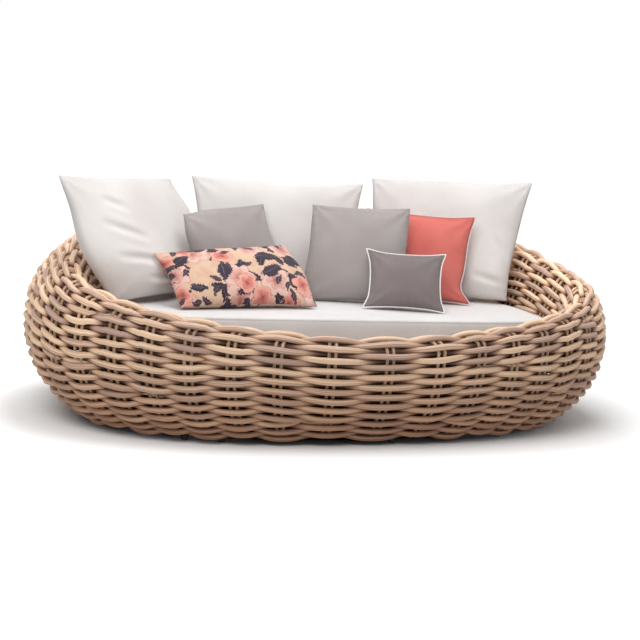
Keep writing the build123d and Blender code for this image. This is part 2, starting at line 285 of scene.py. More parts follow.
def blank_finish(name):
    """A new material, with its nodes and its shader."""
    material = bpy.data.materials.new(name)
    material.use_nodes = True
    return material, material.node_tree, material.node_tree.nodes["Principled BSDF"]


def wicker_finish(name, stops, roughness):
    """Round resin wicker: each strand shifts between sand, straw and grey along its length. Painted light
    makes it darker and pinker low down, lighter higher up and lighter again towards the ends, and painted
    shade darkens it where a strand goes behind the stakes.
    """
    material, tree, shader = blank_finish(name)
    run = put(tree, "SeparateXYZ", {0: put(tree, "UVMap", uv_map="UVMap").outputs[0]})
    tone = put(tree, "Attribute", attribute_name="tone").outputs["Fac"]
    along, around = run.outputs["Y"], run.outputs["X"]
    patches = noise(tree, stretched(tree, (along, 3.4), (tone, 61.0), (around, 0.35)), 1.0, 3.0, 0.6)
    mood = reckon(tree, "ADD", patches.outputs["Fac"],
                  reckon(tree, "MULTIPLY", reckon(tree, "SUBTRACT", tone, 0.5), 0.22))
    colour = ramp_of(tree, mood, stops)
    grain = noise(tree, stretched(tree, (along, 26.0), (around, 22.0), (tone, 40.0)), 1.0, 4.0, 0.7)
    fibre = ramp_of(tree, grain.outputs["Fac"], [(0.3, (0.8, 0.78, 0.76, 1)), (0.62, (1.06, 1.06, 1.06, 1))])
    place = put(tree, "SeparateXYZ", {0: put(tree, "TexCoord").outputs["Object"]})
    # Painted light and shade by height: darker and pinker near the floor, lighter and lighter up to the
    # crest.
    painted_height_light = ramp_of(tree, place.outputs["Z"], [
        (0.03, (0.68, 0.52, 0.43, 1)), (0.28, (1.05, 1.02, 1.0, 1)),
        (0.45, (1.3, 1.31, 1.32, 1)), (0.7, (1.62, 1.66, 1.72, 1))])
    # Painted light towards the ends: the height light is made brighter there.
    aside = reckon(tree, "ABSOLUTE", place.outputs["X"])
    painted_height_and_end_light = put(tree, "VectorMath", {0: painted_height_light, "Scale": ranged(tree, aside, 0.75, 1.1, 1.0, 1.22)},
                   operation="SCALE").outputs[0]
    # Painted shade: dark brown where a strand goes behind the stakes, stronger towards the ends.
    hidden = reckon(tree, "MULTIPLY", put(tree, "Attribute", attribute_name="hidden").outputs["Fac"],
                    ranged(tree, aside, 0.75, 1.1, 1.0, 1.55))
    painted_gap_shade_colour = ramp_of(tree, hidden, [(0.0, (1, 1, 1, 1)), (0.55, tint(200, 180, 166)), (1.0, tint(84, 62, 48))])
    for layer in (fibre, painted_height_and_end_light, painted_gap_shade_colour):
        colour = laid_over(tree, colour, layer, way="MULTIPLY")
    tree.links.new(colour, shader.inputs["Base Color"])
    shader.inputs["Roughness"].default_value = roughness
    shader.inputs["Specular IOR Level"].default_value = 0.45
    roughened(tree, shader, grain.outputs["Fac"], 0.35, 0.0012)
    return material


stake_wicker = wicker_finish("stake_wicker", [
    (0.25, tint(132, 108, 90)), (0.45, tint(170, 140, 113)), (0.7, tint(194, 165, 136))], 0.55)

stake_places = wall_layer(stake_depth)[0]
stake_around = np.roll(stake_places, -1, 0) - np.roll(stake_places, 1, 0)
stake_around /= np.linalg.norm(stake_around, axis=2, keepdims=True)
random.seed(11)
quarters = {"front_stakes": [], "right_stakes": [], "back_stakes": [], "left_stakes": []}
for pair in range(bays):
    column = pair * bay_steps + bay_steps // 2
    turned = (math.degrees(bearings_at(pair)) + 90) % 360
    quarter = list(quarters)[int((turned + 45) // 90) % 4]
    for side in (-1, 1):
        run = (stake_places[column, ::stake_stride]
               + stake_around[column, ::stake_stride] * side * stake_spacing / 2)
        quarters[quarter].append(round_rod(run, np.full(len(run), stake_radius), False, random.random()))
for quarter, rods in quarters.items():
    stakes = bundle(quarter.replace("stakes", "round_stakes"), rods, stake_wicker)
    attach(stakes, "root")
    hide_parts(quarter)

# Outer weave. One thick round strand at a time goes in front of a stake pair and behind the next,
# row on row from the base to the crest. The wall is higher at the back than at the front, so short
# rows are let in by twos at the ends, and their tips are tucked in behind their neighbours.
row_pitch = 0.0181
strand_radius = 0.0104
swing = 0.0121
weave_depth, tuck_depth = 0.024, 0.024
row_wander, end_clearance = 0.0013, 0.004
strand_swell, back_swell = 0.14, 0.08
tip_bays, tip_scatter, tip_steps = 1.6, 0.7, 4
golden_share = 0.618
rows_in_piece = 14

weave_places, weave_ways, weave_lengths = wall_layer(weave_depth)
strand_wicker = wicker_finish("strand_wicker", [
    (0.26, tint(138, 117, 109)), (0.38, tint(160, 133, 119)), (0.48, tint(190, 158, 133)),
    (0.62, tint(211, 182, 153)), (0.78, tint(226, 202, 175))], 0.5)


def eased(share):
    """A share that starts and stops softly."""
    share = np.clip(share, 0, 1)
    return share * share * (3 - 2 * share)


def presence_of_rows(lengths, first_share, last_share):
    """How far each row has opened at each column. Full rows are open all round."""
    wanted = lengths / row_pitch
    full = 2 * int(round(wanted.min() / 2))
    rows = [(slot, np.ones_like(columns)) for slot in range(full)]
    pairs = int((wanted.max() - full) // 2)
    for pair in range(pairs):
        open_here = columns[wanted > full + 2 * pair + 1]
        slot = full * (first_share + (last_share - first_share) * ((pair * golden_share) % 1))
        for strand in range(2):
            enter = open_here.min() + random.uniform(-tip_scatter, tip_scatter)
            leave = open_here.max() + random.uniform(-tip_scatter, tip_scatter)
            opened = np.minimum(eased((columns - enter) / tip_bays), eased((leave - columns) / tip_bays))
            rows.append((slot + 0.3 + 0.01 * pair + 0.002 * strand, opened))
    return [opened for _, opened in sorted(rows, key=lambda row: row[0])]


def wandering(depth):
    """A slow, closed wobble along a strand, from a few waves."""
    waves = [(random.randint(9, 47), random.uniform(0, 6.3), random.uniform(0.3, 1)) for _ in range(5)]
    return depth * sum(size * np.sin(columns * (2 * math.pi / bays) * turns + phase)
                       for turns, phase, size in waves) / 2


def strand_line(share, stand):
    """Points along a strand: its share of the way up each column, and how far it stands out."""
    step = np.clip(share, 0, 2) * lay_steps
    low = np.minimum(step.astype(int), 2 * lay_steps - 1)
    part = (step - low)[:, None]
    index = np.arange(len(columns))
    place = weave_places[index, low] * (1 - part) + weave_places[index, low + 1] * part
    way = weave_ways[index, low] * (1 - part) + weave_ways[index, low + 1] * part
    return place + way / np.linalg.norm(way, axis=1, keepdims=True) * stand[:, None]


def weave_rows(rows, lengths, first_share, first_number):
    """A rod for each row, swinging in front of one stake pair and behind the next."""
    total = sum(rows)
    below = 0
    behind = np.clip(np.sin(bearings_at(columns)), 0, 1)
    rods = []
    for number, opened in enumerate(rows):
        middle = (below + opened / 2) / total
        below = below + opened
        beat = np.cos(math.pi * (columns - 0.5)) * (-1) ** (number + first_number)
        wave = beat * (1.2 - 0.2 * beat * beat)
        share = first_share + np.clip(middle + wandering(row_wander) / lengths,
                                      end_clearance, 1 - end_clearance)
        stand = swing * wave * (1 + wandering(0.06)) - (1 - opened) * tuck_depth
        points = strand_line(share, stand)
        radii = strand_radius * (random.uniform(0.93, 1.02) + strand_swell * beat ** 2
                                 + back_swell * behind + wandering(0.015))
        closed = bool(opened.min() > 0.999)
        if not closed:
            keep = np.nonzero(opened > 0)[0]
            keep = np.arange(max(keep.min() - tip_steps, 0), min(keep.max() + tip_steps + 1, len(columns)))
            points, radii, beat = points[keep], radii[keep], beat[keep]
        # Each strand carries painted shade where it goes behind a stake pair and none where it comes in
        # front.
        rods.append(round_rod(points, radii, closed, random.random(), eased(0.22 - 0.85 * beat)))
    return rods


def in_lots(name, rods, node):
    """The rows in pieces of a size that keeps each one handy."""
    for first in range(0, len(rods), rows_in_piece):
        piece = bundle(f"{name}_{first // rows_in_piece + 1}", rods[first:first + rows_in_piece],
                       strand_wicker)
        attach(piece, "root")
        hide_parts(node)


random.seed(5)
outer_opened = presence_of_rows(weave_lengths[:, 0], 0.15, 0.95)
in_lots("outer_rows", weave_rows(outer_opened, weave_lengths[:, 0], 0, 0), "outer_weave")

# Inner weave. The same strands go on over the crest and down inside the wall to the deck ring,
# where they frame the seat. Their rows are fewer at the front, behind the seat cushion's face.
random.seed(8)
inner_opened = presence_of_rows(weave_lengths[:, 1], 0.1, 0.9)
in_lots("inner_rows", weave_rows(inner_opened, weave_lengths[:, 1], 1, len(outer_opened)), "inner_weave")

# Frame. Three welded rings of 25 mm aluminium tube shape the base, the rim and the deck, with rails,
# posts and slats between them. All are powder coated a dark brown that fades into the weave's gaps.
def coated_finish(name, colour, roughness):
    """A matt skin, darker in patches, with a fine pebbled relief."""
    material, tree, shader = blank_finish(name)
    place = put(tree, "TexCoord").outputs["Object"]
    dark = [part * 0.8 for part in colour[:3]] + [1]
    worn = ramp_of(tree, noise(tree, place, 9.0, 4.0).outputs["Fac"], [(0.35, dark), (0.65, colour)])
    tree.links.new(worn, shader.inputs["Base Color"])
    shader.inputs["Roughness"].default_value = roughness
    roughened(tree, shader, noise(tree, place, 900.0, 2.0).outputs["Fac"], 0.25, 0.0004)
    return material


def coat(name, finish):
    """Puts a finish on every face of a solid."""
    for slot in nodes[name].material_slots:
        slot.material = finish


frame_coat = coated_finish("brown_powder_coat", tint(74, 56, 44), 0.55)
for name in ("base_ring", "rim_ring", "deck_ring", "floor_rails", "deck_rails", "deck_slats", "deck_posts"):
    coat(name, frame_coat)

# Glides. Small dark nylon pads are pushed into the base ring and keep the weave off the floor.
# They are moulded, matt, and scuffed where they slide.
coat("glides", coated_finish("dark_nylon", tint(46, 42, 40), 0.65))

# Seat cushion. A thick foam pad in an off-white outdoor fabric fills the well, with a flat boxed
# front, a seam round its top edge and another round its foot. It lies loose on the deck slats.
rest_gap = 0.0003
pad_low, pad_thick = deck_z + rest_gap, 0.145
seat_top = pad_low + pad_thick
seat_steps = 224
crown_inset = 0.07
crown_shrinks = (0.9, 0.78, 0.64, 0.48, 0.3, 0.12)


def plain_dye(colour, shadow):
    """A dye of one colour, with a faint darker cast here and there."""
    def dyed(tree):
        cast = noise(tree, put(tree, "TexCoord").outputs["Object"], 5.0, 3.0)
        return ramp_of(tree, cast.outputs["Fac"], [(0.3, shadow), (0.7, colour)])
    return dyed


def cloth_finish(name, dyed, thread, nap, seam_shade_level=0.8):
    """Woven cloth in a dye or print: flecked yarn, crossing threads, painted shade along the seams and a soft
    nap.
    """
    material, tree, shader = blank_finish(name)
    slub = noise(tree, put(tree, "TexCoord").outputs["Object"], 420.0, 2.0).outputs["Fac"]
    fleck = ramp_of(tree, slub, [(0.3, (0.93, 0.93, 0.93, 1)), (0.7, (1.03, 1.03, 1.03, 1))])
    flecked = laid_over(tree, dyed(tree), fleck, way="MULTIPLY")
    # Painted shade: the cloth is darkened in a narrow band along each seam.
    seam = put(tree, "Attribute", attribute_name="seam").outputs["Fac"]
    seam_shaded = laid_over(tree, flecked, [seam_shade_level] * 3 + [1], seam, "MULTIPLY")
    tree.links.new(seam_shaded, shader.inputs["Base Color"])
    flat = put(tree, "SeparateXYZ", {0: put(tree, "UVMap", uv_map="cloth").outputs[0]})
    warp, weft = [reckon(tree, "SINE", reckon(tree, "MULTIPLY", flat.outputs[axis], 2 * math.pi / thread))
                  for axis in range(2)]
    crossing = reckon(tree, "ADD", reckon(tree, "MULTIPLY", warp, weft), slub)
    roughened(tree, shader, crossing, 0.2, 0.0004)
    shader.inputs["Roughness"].default_value = 0.9
    shader.inputs["Specular IOR Level"].default_value = 0.2
    shader.inputs["Sheen Weight"].default_value = nap
    shader.inputs["Sheen Roughness"].default_value = 0.5
    return material


def show(name, mesh, node, body, cloth):
    mesh.materials.clear()
    mesh.materials.append(cloth)
    for polygon in mesh.polygons:
        polygon.use_smooth = True
    shown = bpy.data.objects.new(name, mesh)
    bpy.context.scene.collection.objects.link(shown)
    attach(shown, body)
    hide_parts(node)


seat_bearings = np.linspace(0, 2 * math.pi, seat_steps + 1)[:-1] - math.pi / 2
seat_line = well_reach(seat_bearings)
seat_square = 1 / np.hypot(1, np.gradient(seat_line, seat_bearings) / seat_line)
pad_levels = [
    (0.03, 0), (0.016, 0.01), (0.008, 0.05), (0.003, 0.09), (0.001, 0.2), (0.0, 0.35),
    (0.0, 0.5), (0.001, 0.68), (0.003, 0.82), (0.005, 0.885), (0.0065, 0.91), (0.006, 0.925),
    (0.008, 0.95), (0.014, 0.975), (0.026, 0.99), (0.045, 0.997), (crown_inset, 1)]
pad = bmesh.new()
bmesh.ops.create_circle(pad, cap_ends=False, segments=seat_steps, radius=1)
pad_uv = pad.loops.layers.uv.new("cloth")


def lay_ring(corners, inset, share, shrink=1):
    """Lays a ring of the pad in from the well's outline, at a share of its thickness."""
    for corner, bearing, far, square in zip(corners, seat_bearings, seat_line, seat_square):
        out = (far - inset / square) * shrink
        corner.co = (out * math.cos(bearing), middle_y + out * math.sin(bearing),
                     pad_low + pad_thick * share)


def drawn_out(edges):
    """Extrudes the pad's open ring, and gives the new ring's corners and edges."""
    made = bmesh.ops.extrude_edge_only(pad, edges=edges)["geom"]
    corners = [item for item in made if isinstance(item, bmesh.types.BMVert)]
    ring = set(corners)
    return corners, [item for item in made if isinstance(item, bmesh.types.BMEdge)
                     and ring.issuperset(item.verts)]


foot_edges = list(pad.edges)
lay_ring(list(pad.verts), *pad_levels[0])
ring_edges = foot_edges
for level in pad_levels[1:] + [(crown_inset, 1, shrink) for shrink in crown_shrinks]:
    corners, ring_edges = drawn_out(ring_edges)
    lay_ring(corners, *level)
bmesh.ops.contextual_create(pad, geom=ring_edges)
bmesh.ops.contextual_create(pad, geom=foot_edges)
bmesh.ops.recalc_face_normals(pad, faces=pad.faces)
for face in pad.faces:
    for loop in face.loops:
        loop[pad_uv].uv = loop.vert.co.xy if abs(face.normal.z) > 0.5 else (loop.vert.co.x, loop.vert.co.z)
seat_mesh = bpy.data.meshes.new("seat_pad")
pad.to_mesh(seat_mesh)
pad.free()
off_white = plain_dye(tint(223, 221, 220), tint(216, 213, 212))
show("seat_pad", seat_mesh, "seat_cushion", "seat",
     cloth_finish("off_white_seat_cloth", off_white, 0.0011, 0.15))

# Back cushions. Three large pillows of fibre in a cream knife-edge cover lean on the inside of the
# wall, the left one turned inwards. They are soft, so their sides draw in and their faces crease.
pillow_steps = 56
crown_power, crown_sag = 2.3, 0.2
seam_shade_width, fold_reach = 0.006, 0.05
ripple_height, ripple_reach = 0.0007, 0.01
pillow_gap = 0.0004


def stuffed(name, size, bow=0.05, fullness=0.56, pulls=(), fold_height=0.003):
    """A knife-edge pillow: pointed corners, sides drawn in, a full face that sags, folds at corners, and
    painted shade marked along its seam.
    """
    width, height, thickness, foot_share = size
    cover = bmesh.new()
    uv = cover.loops.layers.uv.new("cloth")
    seam = cover.verts.layers.float.new("seam")
    rows = max(22, round(pillow_steps * height / width))
    for side in (1, -1):
        made = bmesh.ops.create_grid(cover, x_segments=pillow_steps, y_segments=rows, size=1)
        for vert in made["verts"]:
            inside = max(abs(vert.co.x), abs(vert.co.y)) < 1 - 1e-6
            vert.co = (1.3 * vert.co.x - 0.3 * vert.co.x ** 3, 1.3 * vert.co.y - 0.3 * vert.co.y ** 3,
                       side if inside else 0)
    bmesh.ops.remove_doubles(cover, verts=cover.verts, dist=1e-5)
    bmesh.ops.recalc_face_normals(cover, faces=cover.faces)
    for face in cover.faces:
        behind = face.calc_center_median().z < 0
        for loop in face.loops:
            loop[uv].uv = (loop.vert.co.x * width / 2 + 2 * behind, loop.vert.co.y * height / 2)
    # Painted shade along the seam: strongest at the edge, gone a few millimetres in.
    for vert in cover.verts:
        inset = min((1 - abs(vert.co.x)) * width / 2, (1 - abs(vert.co.y)) * height / 2)
        vert[seam] = math.exp(-inset / seam_shade_width)
    mesh = bpy.data.meshes.new(name)
    cover.to_mesh(mesh)
    cover.free()
    flat = np.array([vert.co for vert in mesh.vertices])
    u, v, side = flat.T
    sag = v + crown_sag * (1 - v ** 2)
    full = ((1 - abs(u) ** crown_power) * (1 - abs(sag) ** crown_power)).clip(0) ** fullness
    spots = np.array([width / 2 * u * (1 - bow * (1 - v ** 2) * u ** 2),
                      height / 2 * v * (1 - bow * (1 - u ** 2) * v ** 2), side * thickness / 2 * full]).T
    for corner_u in (-1, 1):
        for corner_v in (-1, 1):
            across, along = width / 2 * abs(corner_u - u), height / 2 * abs(corner_v - v)
            off, turn = np.hypot(across, along) / fold_reach, np.arctan2(along, across)
            spots[:, 2] += (side * full ** 0.5 * fold_height * np.sin(turn * 9 + corner_u + 2 * corner_v)
                            * off * np.exp(1 - off))
    border = np.minimum(width / 2 * (1 - abs(u)), height / 2 * (1 - abs(v))) / ripple_reach
    ripple = np.sin(spots[:, 0] * 210 + 3 * v) + np.sin(spots[:, 1] * 190 + 2 * u)
    spots[:, 2] += side * ripple_height * ripple * border * np.exp(1 - border)
    spots[:, 0] *= foot_share + (1 - foot_share) * (v + 1) / 2
    for pull_u, pull_v, reach, *shift in pulls:
        near = np.exp(-((u - pull_u) ** 2 + (v - pull_v) ** 2) / reach ** 2)
        spots += near[:, None] * np.array(shift)
    return mesh, spots, flat


def crease(spots, start, end, width, depth):
    """Presses a soft fold into the front, between two spots in the cushion's own plane."""
    start, end = np.array(start), np.array(end)
    run = end - start
    part = np.clip(((spots[:, :2] - start) @ run) / (run @ run), 0, 1)
    off = np.linalg.norm(spots[:, :2] - start - part[:, None] * run, axis=1)
    fade = np.sin(math.pi * np.clip(part * 0.9 + 0.05, 0, 1)) ** 0.7
    front = spots[:, 2] > 0
    spots[front, 2] -= (depth * fade * np.exp(-(off / width) ** 2))[front]
    ridge = depth * 0.45 * fade * np.exp(-((off - 2.1 * width) / width) ** 2)
    spots[front, 2] += ridge[front]


def seated(node, spots, turn, lean, tip, nudge=(0, 0, 0)):
    """Turns a cushion as it leans and sets it where its solid stands, flat where it rests."""
    stand = np.array(Matrix.Rotation(math.radians(turn), 3, "Z")
                     @ Matrix.Rotation(math.radians(90 - lean), 3, "X")
                     @ Matrix.Rotation(math.radians(tip), 3, "Z"))
    solid = np.array([vert.co for vert in nodes[node].data.vertices]) @ stand
    placed = (spots + (solid.max(0) + solid.min(0)) / 2) @ stand.T + np.array(nudge)
    placed[:, 2] = np.maximum(placed[:, 2], seat_top + pillow_gap)
    return placed


def finished(mesh, placed):
    """Puts the vertices in place and rounds the cloth once."""
    mesh.vertices.foreach_set("co", placed.ravel())
    holder = bpy.data.objects.new("holder", mesh)
    bpy.context.scene.collection.objects.link(holder)
    soft = holder.modifiers.new("soft", "SUBSURF")
    soft.levels = soft.render_levels = 1
    view = bpy.context.evaluated_depsgraph_get()
    smooth = bpy.data.meshes.new_from_object(holder.evaluated_get(view))
    bpy.data.objects.remove(holder)
    smooth.name = mesh.name + "_cloth"
    return smooth


cream = plain_dye(tint(226, 221, 218), tint(215, 209, 206))
cream_back = cloth_finish("cream_back_cloth", cream, 0.0011, 0.15)
mesh, spots, _ = stuffed("back_pillow_left", (0.62, 0.47, 0.15, 0.7), 0.04, 0.5, (
    (1, 1, 0.5, -0.06, -0.01, 0), (1, 0.2, 0.7, 0.1, 0, -0.01), (1, -0.7, 0.6, 0.06, 0, -0.01),
    (-1, 1, 0.4, -0.03, 0.008, 0), (-1, -0.1, 0.8, -0.08, 0, 0.02), (-0.15, -1, 0.8, 0, -0.01, 0.08)))
for fold in (((-0.24, 0.05), (-0.06, -0.02), 0.012, 0.012), ((-0.22, -0.08), (0.0, -0.12), 0.011, 0.012),
             ((-0.2, 0.14), (-0.1, 0.1), 0.012, 0.009), ((-0.12, -0.17), (0.08, -0.19), 0.01, 0.009)):
    crease(spots, *fold)
show("back_pillow_left", finished(mesh, seated("back_cushion_left", spots, 42, 18, 0)),
     "back_cushion_left", "back_left", cream_back)

mesh, spots, _ = stuffed("back_pillow_middle", (0.72, 0.46, 0.14, 0.88), 0.05, 0.5)
show("back_pillow_middle", finished(mesh, seated("back_cushion_middle", spots, -4, 13, 0)),
     "back_cushion_middle", "back_middle", cream_back)

mesh, spots, _ = stuffed("back_pillow_right", (0.69, 0.5, 0.15, 0.78), 0.035, 0.5, (
    (-1, 1, 0.4, 0.02, -0.008, 0), (1, 1, 0.35, 0.006, 0.006, 0), (1, -0.6, 0.5, -0.012, 0, 0.03),
    (0.6, -1, 0.6, 0, -0.01, 0.03)))
for fold in (((0.2, 0.0), (0.27, -0.1), 0.01, 0.008), ((0.12, -0.16), (0.24, -0.19), 0.01, 0.01)):
    crease(spots, *fold)
show("back_pillow_right", finished(mesh, seated("back_cushion_right", spots, -20, 16, 1)),
     "back_cushion_right", "back_right", cream_back)

# Grey scatter cushions. Two knife-edge cushions in a taupe-grey cloth, plumper for their size than
# the back ones, sewn shut along the foot. One leans on each side of the middle pillow.
taupe = cloth_finish("taupe_cloth", plain_dye(tint(172, 164, 162), tint(160, 152, 150)), 0.001, 0.2)
mesh, spots, _ = stuffed("grey_pillow_left", (0.41, 0.355, 0.12, 1), 0.045, 0.52, (
    (-1, 1, 0.4, 0.014, -0.02, 0), (-1, -0.3, 0.6, 0.02, 0, 0), (1, -0.3, 0.6, 0.028, 0, 0)))
show("grey_pillow_left", finished(mesh, seated("grey_cushion_left", spots, 24, 19, 3, (0.006, -0.006, 0))),
     "grey_cushion_left", "grey_left", taupe)
mesh, spots, _ = stuffed("grey_pillow_right", (0.405, 0.388, 0.12, 1), 0.045, 0.5, (
    (-1, 1, 0.4, 0.012, 0, 0), (1, -0.4, 0.5, -0.012, 0, 0), (-1, -0.6, 0.6, -0.02, 0, 0)))
show("grey_pillow_right", finished(mesh, seated("grey_cushion_right", spots, -13, 18, 1)),
     "grey_cushion_right", "grey_right", taupe)


# Floral lumbar cushion. A long pillow in a printed cotton lies well back on its neighbours. Its
# print is a plain garden one of loose blooms and dark leaves on a peach ground.
def scattered(tree, place, scale, shift):
    """Offsets from the middles of scattered cells, turned at random, and a number for each cell."""
    moved = put(tree, "VectorMath", {0: place, 1: (shift, shift * 0.7, 0)}, operation="ADD").outputs[0]
    cell = put(tree, "TexVoronoi", {"Vector": moved, "Scale": scale, "Randomness": 0.85},
               voronoi_dimensions="2D")
    away = put(tree, "VectorMath", {0: moved, 1: cell.outputs["Position"]}, operation="SUBTRACT").outputs[0]
    luck = put(tree, "SeparateColor", {0: cell.outputs["Color"]})
    turn = reckon(tree, "MULTIPLY", luck.outputs[0], 6.3)
    spin = put(tree, "VectorRotate", {"Vector": away, "Angle": turn})
    flat = put(tree, "SeparateXYZ", {0: spin.outputs[0]})
    return flat.outputs[0], flat.outputs[1], luck.outputs[2]


def inside_of(tree, value, edge, soft):
    """1 where a value is under an edge and 0 past it, with a soft step."""
    return ranged(tree, value, edge, edge + soft, 1.0, 0.0)


def bloom_layer(tree, below, place, scale, shift, reach, petals, shades, least):
    """Open blooms: petals cut into a rim, darker folds between them and a deep middle."""
    x, y, luck = scattered(tree, place, scale, shift)
    far = reckon(tree, "SQRT", reckon(tree, "ADD", reckon(tree, "MULTIPLY", x, x),
                                      reckon(tree, "MULTIPLY", y, y)))
    turn = reckon(tree, "ARCTAN2", y, x)
    lobes = reckon(tree, "ABSOLUTE", reckon(tree, "SINE", reckon(tree, "MULTIPLY", turn, petals / 2)))
    folds = reckon(tree, "ABSOLUTE", reckon(tree, "SINE", reckon(
        tree, "ADD", 0.9, reckon(tree, "MULTIPLY", turn, (petals - 1) / 2))))
    rim = reckon(tree, "MULTIPLY", reckon(tree, "ADD", 0.74, reckon(tree, "MULTIPLY", lobes, 0.26)), reach)
    ratio = reckon(tree, "DIVIDE", far, rim)
    heart = reckon(tree, "DIVIDE", far, reckon(tree, "MULTIPLY", reckon(
        tree, "ADD", 0.6, reckon(tree, "MULTIPLY", folds, 0.4)), reach * 0.62))
    shown = reckon(tree, "MULTIPLY", inside_of(tree, ratio, 0.98, 0.04),
                   reckon(tree, "GREATER_THAN", luck, least))
    outer_petals = ramp_of(tree, ratio, [
        (0.35, shades[1]), (0.8, shades[0]), (0.93, shades[0]), (0.98, shades[2])])
    inner_petals = ramp_of(tree, heart, [
        (0.15, shades[3]), (0.45, shades[2]), (0.85, shades[1]), (0.97, shades[2])])
    bloom = laid_over(tree, outer_petals, inner_petals, inside_of(tree, heart, 0.97, 0.05))
    return laid_over(tree, below, bloom, shown)


def leaf_layer(tree, below, place, scale, shift, length, width, colour, least):
    """Pointed, notched leaves with a pale vein, that lie every way."""
    x, y, luck = scattered(tree, place, scale, shift)
    off = reckon(tree, "ABSOLUTE", y)
    along = reckon(tree, "DIVIDE", reckon(tree, "ABSOLUTE", x), length)
    notch = reckon(tree, "MULTIPLY", reckon(tree, "ABSOLUTE", reckon(
        tree, "SINE", reckon(tree, "MULTIPLY", x, 300.0))), 0.25)
    half = reckon(tree, "MULTIPLY", reckon(tree, "SUBTRACT", reckon(
        tree, "SUBTRACT", 1.0, reckon(tree, "POWER", along, 1.6)), notch), width)
    shown = reckon(tree, "MULTIPLY", inside_of(tree, reckon(tree, "SUBTRACT", off, half), 0.0, 0.0008),
                   reckon(tree, "GREATER_THAN", luck, least))
    vein = reckon(tree, "LESS_THAN", off, 0.0007)
    veined = laid_over(tree, colour, tint(150, 132, 134), reckon(tree, "MULTIPLY", vein, 0.6))
    return laid_over(tree, below, veined, shown)


def garden_print(tree):
    """Leaves and blooms in turn on a washed peach ground, all drawn with an unsteady hand."""
    flat = put(tree, "UVMap", uv_map="cloth").outputs[0]
    drift = put(tree, "VectorMath", {0: noise(tree, flat, 30.0, 3.0).outputs["Color"], 1: (0.5, 0.5, 0.5)},
                operation="SUBTRACT").outputs[0]
    drift = put(tree, "VectorMath", {0: drift, 1: (0.034, 0.034, 0)}, operation="MULTIPLY").outputs[0]
    place = put(tree, "VectorMath", {0: flat, 1: drift}, operation="ADD").outputs[0]
    printed = ramp_of(tree, noise(tree, flat, 11.0, 4.0).outputs["Fac"], [
        (0.35, tint(208, 168, 144)), (0.5, tint(220, 188, 162)), (0.65, tint(210, 166, 150))])
    printed = leaf_layer(tree, printed, place, 11.5, 3.1, 0.042, 0.021, tint(58, 50, 60), 0.25)
    printed = bloom_layer(tree, printed, place, 7.2, 7.3, 0.066, 7.0, (
        tint(224, 188, 176), tint(218, 170, 158), tint(196, 140, 128), tint(174, 108, 100)), 0.22)
    printed = leaf_layer(tree, printed, place, 9.0, 5.7, 0.058, 0.031, tint(64, 55, 66), 0.34)
    printed = bloom_layer(tree, printed, place, 9.0, 11.9, 0.046, 5.0, (
        tint(226, 166, 152), tint(214, 140, 126), tint(196, 116, 104), tint(162, 86, 80)), 0.55)
    return leaf_layer(tree, printed, place, 17.0, 9.2, 0.028, 0.012, tint(72, 60, 72), 0.5)


floral_cloth = cloth_finish("floral_cloth", garden_print, 0.001, 0.1)
mesh, spots, _ = stuffed("floral_pillow", (0.56, 0.285, 0.11, 1), 0.05, 0.52, (
    (-1, 1, 0.6, -0.026, -0.03, 0.01), (1, 1, 0.5, -0.038, 0.008, 0), (1, -0.1, 0.5, 0.012, 0, 0),
    (1, -1, 0.4, 0.002, -0.016, 0), (-1, -1, 0.5, 0.022, 0, 0)), 0.002)
show("floral_pillow", finished(mesh, seated("floral_cushion", spots, 8, 48, 2, (0, -0.012, 0))),
     "floral_cushion", "floral", floral_cloth)


# Coral scatter cushion. A square knife-edge cushion in coral cloth with a thin pale piping sewn
# into its seam. It leans on the right back pillow, behind the smallest cushion.
def piping_round(name, flat, placed, thickness, material, node, body):
    """A thin cord sewn into the seam, through the cushion's own edge."""
    edge = sorted((math.atan2(y, x), index) for index, (x, y, side) in enumerate(flat) if side == 0)
    line = np.array([placed[index] for _, index in edge])
    outward = line - line.mean(0)
    line += outward / np.linalg.norm(outward, axis=1, keepdims=True) * thickness * 0.6
    line[:, 2] = np.maximum(line[:, 2], seat_top + thickness + rest_gap)
    cord = bundle(name, [round_rod(line, np.full(len(line), thickness), True, 0.5)], material)
    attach(cord, body)
    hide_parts(node)


coral = plain_dye(tint(221, 122, 112), tint(206, 104, 96))
coral_cloth = cloth_finish("coral_cloth", coral, 0.001, 0.2, 0.45)
pale_cord = cloth_finish("pale_piping_cloth", plain_dye(tint(238, 226, 218), tint(226, 212, 204)), 0.001, 0.1)
mesh, spots, flat = stuffed("coral_pillow", (0.43, 0.35, 0.11, 1), 0.035, 0.56, (
    (1, 1, 0.3, 0.012, 0.01, 0), (1, -1, 0.22, 0.03, 0, 0), (1, -0.62, 0.3, -0.012, 0, 0)))
placed = seated("coral_cushion", spots, -22, 18, -2)
piping_round("coral_edge_piping", flat, placed, 0.0023, pale_cord, "coral_piping", "coral")
show("coral_pillow", finished(mesh, placed), "coral_cushion", "coral", coral_cloth)

# Small grey cushion. The smallest one, in a plain slate-grey cloth with a white piping, stands in
# front of the coral one and leans back on it.
slate = cloth_finish("slate_cloth", plain_dye(tint(134, 124, 123), tint(124, 114, 113)), 0.0009, 0.15)
white = plain_dye(tint(246, 244, 242), tint(238, 236, 234))
white_cord = cloth_finish("white_piping_cloth", white, 0.001, 0.1)
mesh, spots, flat = stuffed("small_pillow", (0.29, 0.234, 0.08, 1), 0.08, 0.56, (
    (-1, 1, 0.25, -0.008, 0.008, 0), (1, 1, 0.25, 0.008, 0.004, 0), (1, -1, 0.25, 0.009, -0.004, 0),
    (-1, -1, 0.25, -0.012, -0.002, 0)), 0.002)
placed = seated("small_cushion", spots, -16, 30, 0, (-0.026, 0.008, 0))
piping_round("small_edge_piping", flat, placed, 0.0028, white_cord, "small_piping", "small")
show("small_pillow", finished(mesh, placed), "small_cushion", "small", slate)
